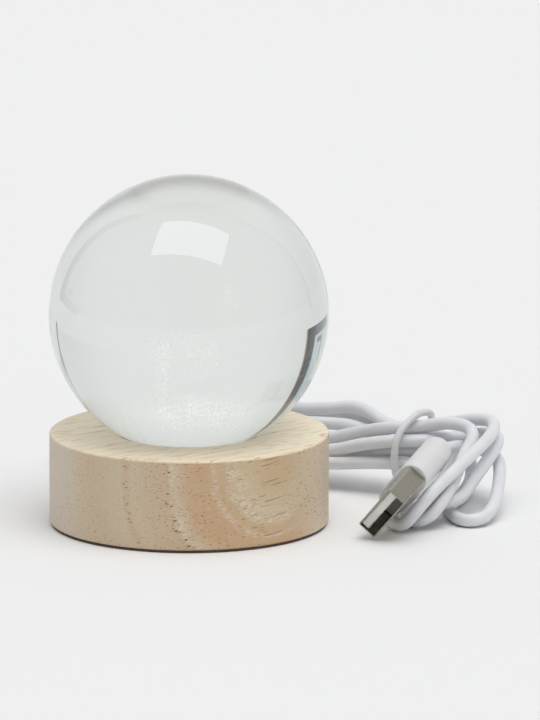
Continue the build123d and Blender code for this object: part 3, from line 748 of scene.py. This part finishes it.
def grained(stretch, detail, roughness=0.5, turns=GRAIN, shift=(0, 0, 0)):
    """Noise that is drawn out along the fibres; stretch is how fast it changes each way."""
    return wood.noise(wood.place(turns=turns, stretch=stretch, shift=shift), 1.0, detail, roughness)


along, across, height = wood.parts(wood.place(turns=LEVEL_GRAIN))
drift = grained((0.012, 0.06, 0.06), 2.0)
ripple = grained((0.05, 0.35, 0.35), 3.0)
bend = (TOP_MM - height) ** 3 * wood.between(0 - across, 20.0, 29.0, *RING_BENDS)
rings = 0 - across - bend + (drift - 0.5) * 1.2 + (ripple - 0.5) * 0.8
band = wood.node("MapRange", None, {0: rings, 1: -RING_REACH, 2: RING_REACH})


def by_ring(*stops):
    """A ramp over the rings; each stop is a ring's distance in millimetres and its colour."""
    places = [(ring + RING_REACH) / (2 * RING_REACH) for ring, _ in stops]
    return wood.ramp(band, *zip(places, (colour for _, colour in stops)))


def ring_noise(rate, detail, roughness=0.5):
    """Noise that changes from ring to ring only."""
    return wood.noise(wood.vector(rings * rate, 0.0, 0.0), 1.0, detail, roughness)


def grey(share):
    return (share, share, share)


tone = by_ring((-28, TAN), (-20, CREAM), (-12, PINK), (-3, CREAM), (5, TAN), (11.5, CREAM),
               (12.6, PINK), (14, CREAM), (19.0, TAN), (20.4, TAN), (21.4, CREAM), (23.4, PINK),
               (26.2, PINK), (27.4, TAN), (29.0, CREAM), (30, TAN))
pale_rings = by_ring(*((ring, grey(share)) for ring, share in (
    (20.4, 0), (20.8, 0.9), (21.8, 0.55), (23.3, 0), (26.1, 0), (26.5, 0.8),
    (27.1, 0), (27.5, 0), (27.9, 1), (28.6, 0.7), (29.8, 0.1))))
fine_bands = ring_noise(1.7, 3.0, 0.6)
tone = wood.mix(wood.between(fine_bands, 0.42, 0.68, 0.0, 0.35), tone, PINK)
cloudy = grained((0.03, 0.12, 0.12), 3.0)
tone = wood.mix(wood.between(cloudy, 0.40, 0.70, 0.0, 0.30), tone, CREAM)
fibres = grained((0.25, 5.0, 5.0), 3.0, 0.65)
tone = wood.mix(wood.between(fibres, 0.35, 0.75, 0.0, 0.22), tone, FIBRE)
ray_flecks = grained((0.55, 1.3, 6.0), 2.0, 0.6)
hatch = grained((0.9, 1.3, 3.8), 2.0, 0.6)
patches = grained((0.06, 0.22, 0.16), 2.0, shift=(2.0, 0.0, 5.0))
pale_hatch = wood.between(ray_flecks, 0.58, 0.68) * 0.4
pale_band = (wood.parts(pale_rings)[0] * wood.between(hatch, 0.40, 0.58)
             * wood.between(patches, 0.36, 0.52, 0.35, 1.0)
             * wood.between(along, 0.0, 9.0, 1.0, 0.4))
tone = wood.mix(wood.maths("MAXIMUM", pale_hatch, pale_band * 0.95), tone, PALE)
# The ends of the side are paler: partly the wood's own tone, partly painted light against the shade
# there.
tone = wood.mix(wood.between(along, -12.0, -28.0, 0.0, 0.30), tone, GREY_END_AND_LIGHT)
grey_and_lit_left = wood.between(along, -8.0, -20.0, 0.0, 0.7) * wood.between(across, -5.0, 9.0)
tone = wood.mix(grey_and_lit_left, tone, GREY_END_AND_LIGHT)
tone = wood.mix(wood.between(along, 3.0, 16.0, 0.0, 0.8), tone, FAR_END_AND_LIGHT)
on_top = wood.between(height, TOP_MM - 0.45, TOP_MM - 0.2)
streaks = grained((0.045, 0.8, 0.3), 3.0, 0.6, turns=LEVEL_GRAIN)
# Painted light: the top is made much paler than the side.
tone = wood.mix(on_top * 0.85, tone, TOP_PAINTED_LIGHT)
tone = wood.mix(on_top * wood.between(streaks, 0.45, 0.72, 0.0, 0.45), tone, STREAK)


def pores(stretch, shift, size, keep, turns=GRAIN):
    """Dark tubes along the fibres: 1 inside a pore. The kept share of them is drawn."""
    point = wood.place(turns=turns, stretch=stretch, shift=shift)
    inside = wood.between(wood.cells(point), size * 0.55, size, 1, 0)
    shade = wood.parts(wood.cells(point, out="Color"))[0]
    return inside * wood.between(shade, 1 - keep, 1 - keep + 0.25)


crowded = wood.between(ring_noise(0.5, 2.0), 0.40, 0.62, 0.45, 1.0)
small_pores = pores((0.15, 1.85, 2.2), (0, 0, 0), 0.25, 0.8) * crowded
long_pores = pores((0.06, 1.4, 1.9), (3.7, 1.3, 8.1), 0.25, 0.9)
fleck_rings = wood.maths("MAXIMUM", wood.between(abs(rings - 20.4), 0.25, 0.75, 1, 0),
                         wood.between(abs(rings - 12.5), 0.3, 1.0, 0.5, 0))
flecks = pores((0.30, 0.75, 1.5), (9.1, 5.3, 2.2), 0.36, 0.95) * fleck_rings
top_pores = pores((0.11, 1.7, 1.7), (6.2, 2.4, 0.7), 0.25, 0.9, LEVEL_GRAIN)
side_pores = wood.maths("MAXIMUM", small_pores * 0.8, long_pores)
tone = wood.mix((side_pores * (1 - on_top) + top_pores * on_top) * 0.75, tone, PORE)
tone = wood.mix(flecks * 0.9, tone, FLECK)
radius = wood.radius()
# Painted highlight: a thin warm line along the top edge.
painted_rim_highlight = (wood.between(radius, BASE_R_MM - 0.30, BASE_R_MM - 0.12)
       * wood.between(height, TOP_MM - 0.4, TOP_MM - 0.2))
tone = wood.mix(painted_rim_highlight * 0.40, tone, RIM_HIGHLIGHT)
# Painted shade: the wood is darkened a little just above the pad, where the floor shades the side.
painted_foot_shade = wood.between(height, 0.5, 0.9, 1, 0)
tone = wood.mix(painted_foot_shade * 0.10, tone, FOOT_SHADE)
tool_marks = wood.noise(wood.vector(radius * 3.0, height * 3.0, 0.0), 1.0, 2.0)
relief = fibres * 0.5 + tool_marks * 0.25 - (small_pores + long_pores) * (1 - on_top) * 0.8 - flecks
wood.set(Base_Color=tone, Roughness=wood.between(fibres, 0.3, 0.8, 0.55, 0.72))
wood.bump(relief, 0.05 * MM, 0.7)
dress(wood, nodes["base_body"])

# %% [markdown]
# ## White cord, grip and tie
# The cord's jacket and the plug's grip are soft white PVC, and the tie is a wire in a
# thin PVC coat. Fresh PVC is satin rather than glossy: a broad dull highlight over a
# barely uneven surface, cooler on the cord and greyer on the grip, whose mould left a
# fine spark-eroded texture.

# %% PVC
def pvc(name, colour, shade, roughness, pebble, depth):
    """Satin PVC: a slightly uneven tint, a pebbled skin and a faint glow under it."""
    finish = Finish(name, Specular_IOR_Level=0.42, Subsurface_Weight=0.06,
                    Subsurface_Scale=0.6 * MM)
    uneven = finish.noise(finish.place(stretch=(0.35, 0.35, 0.35)), 1.0, 3.0)
    skin = finish.noise(finish.place(), pebble, 2.0, 0.6)
    finish.set(Base_Color=finish.mix(finish.between(uneven, 0.35, 0.7), colour, shade),
               Roughness=finish.between(skin, 0.3, 0.7, roughness, roughness + 0.12))
    finish.bump(skin, depth * MM, 0.5)
    return finish


cord_finish = pvc("cord_pvc", (0.76, 0.77, 0.795), (0.73, 0.74, 0.765), 0.36, 4.0, 0.02)
grip_finish = pvc("grip_pvc", (0.72, 0.72, 0.72), (0.69, 0.69, 0.685), 0.50, 9.0, 0.03)
tie_finish = pvc("tie_pvc", (0.74, 0.74, 0.745), (0.69, 0.69, 0.695), 0.46, 6.0, 0.03)
cord.visible_transmission = False
dress(cord_finish, cord, nodes["cord_tail"])
dress(grip_finish, nodes["plug_grip"])
dress(tie_finish, tie)

# %% [markdown]
# ## Metals
# The shell is folded from nickel-plated strip, rolled along its length, with fine
# scratches from being pushed into sockets. The screws are zinc-plated steel, the
# contacts are gilt, and the solder is dull tin. One recipe does for all four: streaks
# along one direction change the colour and the roughness, and lift the surface a hair.

# %% Metals
def metal(name, colour, worn, roughness, stretch, depth=0.004, spread=0.14):
    finish = Finish(name, Metallic=1.0)
    streaks = finish.noise(finish.place(stretch=stretch), 1.0, 4.0, 0.65)
    blotches = finish.noise(finish.place(), 0.7, 2.0)
    wear = finish.between(streaks * 0.6 + blotches * 0.4, 0.35, 0.68)
    finish.set(Base_Color=finish.mix(wear, colour, worn),
               Roughness=finish.between(streaks, 0.3, 0.7, roughness, roughness + spread))
    finish.bump(streaks, depth * MM, 0.5)
    return finish


dress(metal("nickel", (0.385, 0.36, 0.31), (0.365, 0.34, 0.295), 0.25, (4.0, 1.2, 5.0),
            depth=0.0006, spread=0.05), nodes["plug_shell"])
dress(metal("screw_steel", (0.62, 0.62, 0.60), (0.48, 0.48, 0.47), 0.28, (9.0, 9.0, 2.0)),
      nodes["board_screws"], nodes["cover_screws"])
dress(metal("gilt", (0.83, 0.62, 0.28), (0.70, 0.50, 0.22), 0.22, (5.0, 2.0, 5.0)),
      nodes["plug_contacts"])
dress(metal("solder", (0.60, 0.60, 0.59), (0.42, 0.42, 0.43), 0.34, (3.0, 3.0, 3.0), depth=0.02),
      nodes["solder_joints"])

# %% [markdown]
# ## Moulded plastics
# The tongue, the cover, the window, the cable tie and the leads are moulded or drawn
# plastic. They differ in colour, gloss and grain, so those are what one recipe takes. The
# window is opal acrylic: milky, and lit through from below when the lamp is on.

# %% Plastics
def plastic(name, colour, shade, roughness, grain_size, depth, **more):
    finish = Finish(name, **more)
    texture = finish.noise(finish.place(), grain_size, 3.0, 0.6)
    clouds = finish.noise(finish.place(), 0.3, 2.0)
    finish.set(Base_Color=finish.mix(finish.between(clouds, 0.35, 0.65), colour, shade),
               Roughness=finish.between(texture, 0.3, 0.7, roughness, roughness + 0.15))
    finish.bump(texture, depth * MM, 0.6)
    return finish


dress(plastic("tongue_plastic", (0.76, 0.76, 0.74), (0.70, 0.70, 0.68), 0.40, 6.0, 0.01),
      nodes["plug_tongue"])
dress(plastic("cover_plastic", (0.020, 0.020, 0.021), (0.030, 0.030, 0.031), 0.45, 4.0, 0.05),
      nodes["bottom_cover"])
dress(plastic("opal_acrylic", (0.86, 0.87, 0.86), (0.82, 0.83, 0.82), 0.22, 2.0, 0.01,
              Subsurface_Weight=0.2, Subsurface_Scale=2 * MM), nodes["diffuser_window"])
dress(plastic("nylon", (0.80, 0.79, 0.74), (0.72, 0.71, 0.66), 0.32, 5.0, 0.01,
              Subsurface_Weight=0.2, Subsurface_Scale=1 * MM), nodes["strain_tie"])
dress(plastic("lead_red", (0.48, 0.018, 0.014), (0.38, 0.014, 0.011), 0.36, 6.0, 0.01),
      nodes["lead_positive"])
dress(plastic("lead_black", (0.016, 0.016, 0.017), (0.028, 0.028, 0.030), 0.36, 6.0, 0.01),
      nodes["lead_negative"])

# %% [markdown]
# ## Foot pad
# The pad is a disc of closed-cell foam, cut from sheet. Its cells show on the cut edge
# as a fine dark pitting; from the front the pad is the thin brown-black line on which
# the base seems to float.

# %% Foam
foam = Finish("foam_pad", Roughness=0.92, Specular_IOR_Level=0.2)
cells = foam.cells(foam.place(), 5.0)
foam.set(Base_Color=foam.ramp(cells, (0.0, (0.05, 0.036, 0.031)), (0.5, (0.13, 0.095, 0.082))))
foam.bump(cells, 0.12 * MM)
dress(foam, nodes["foot_pad"])

# %% [markdown]
# ## Light board
# The board is fibreglass under white solder mask, with copper tracks that show through
# it as faintly raised lines: a ring that joins the lamps, and spokes. The lamps are
# white cups with a yellow phosphor pool, and the resistors are black bars with tinned
# ends. Each pattern is worked out from the board's own centre, by radius and angle.

# %% Board, lamps and resistors
MASK, MASK_WEAVE, MASK_TRACK = (0.82, 0.83, 0.82), (0.70, 0.72, 0.70), (0.66, 0.68, 0.64)
WEAVE_RATE = 7.0           # radians of the weave in a millimetre
board = Finish("board_mask", Specular_IOR_Level=0.5)
board_x, board_y, _ = board.parts(board.place())
board_radius = board.radius()
ring_track = board.between(abs(board_radius - LAMP_RING_MM), 0.55, 0.70, 1, 0)
spokes = (board.between(abs(board_x), 0.45, 0.60, 1, 0)
          * board.between(board_radius, LAMP_RING_MM, LAMP_RING_MM + 0.2))
warp = board.maths("SINE", board_x * WEAVE_RATE)
weft = board.maths("SINE", board_y * WEAVE_RATE)
weave = warp * weft * 0.5 + 0.5
track = board.maths("MAXIMUM", ring_track, spokes)
board.set(Base_Color=board.mix(track * 0.8, board.mix(weave * 0.25, MASK, MASK_WEAVE), MASK_TRACK),
          Roughness=board.between(weave, 0.2, 0.8, 0.30, 0.42))
board.bump(track + weave * 0.15, 0.04 * MM)
dress(board, nodes["led_board"])

CUP, PHOSPHOR_DEEP, PHOSPHOR = (0.80, 0.80, 0.78), (0.78, 0.50, 0.05), (0.85, 0.62, 0.12)
chip = Finish("lamp_chip", Roughness=0.35)
chip_height = chip.parts(chip.place())[2]
dish_floor = chip.between(chip_height, CHIP_TOP_MM - 0.22, CHIP_TOP_MM - 0.15, 1, 0)
pool = chip.between(abs(chip.radius() - LAMP_RING_MM), 0.95, 1.05, 1, 0) * dish_floor
speckle = chip.noise(chip.place(), 12.0, 2.0)
phosphor = chip.ramp(speckle, (0.3, PHOSPHOR_DEEP), (0.7, PHOSPHOR))
chip.set(Base_Color=chip.mix(pool, CUP, phosphor))
chip.bump(speckle, 0.01 * MM)
dress(chip, nodes["led_chips"])

BLACK_DEEP, BLACK, TINNED = (0.012, 0.012, 0.014), (0.03, 0.03, 0.034), (0.62, 0.62, 0.60)
resistor = Finish("chip_resistor")
resistor_y = resistor.parts(resistor.place())[1]
end_cap = resistor.between(abs(resistor_y + LAMP_RING_MM), 0.68, 0.72)
grit = resistor.noise(resistor.place(), 10.0, 2.0)
black = resistor.ramp(grit, (0.3, BLACK_DEEP), (0.7, BLACK))
resistor.set(Base_Color=resistor.mix(end_cap, black, TINNED), Metallic=end_cap,
             Roughness=resistor.between(grit, 0.3, 0.7, 0.28, 0.45))
resistor.bump(grit, 0.01 * MM)
dress(resistor, nodes["chip_resistors"])

# %% [markdown]
# ## Handing the pieces over
# The cord and the tie stand for soft solids of the frame, and both are fixed to the
# base. The frame's own cord and twist tie are hidden.

# %% Ride and hide
for piece, slot in ((cord, "white_pvc"), (tie, "tie_pvc")):
    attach(piece, "base")
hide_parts("cord_lead", "cord_hank", "cord_plug_run")
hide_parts("twist_tie")
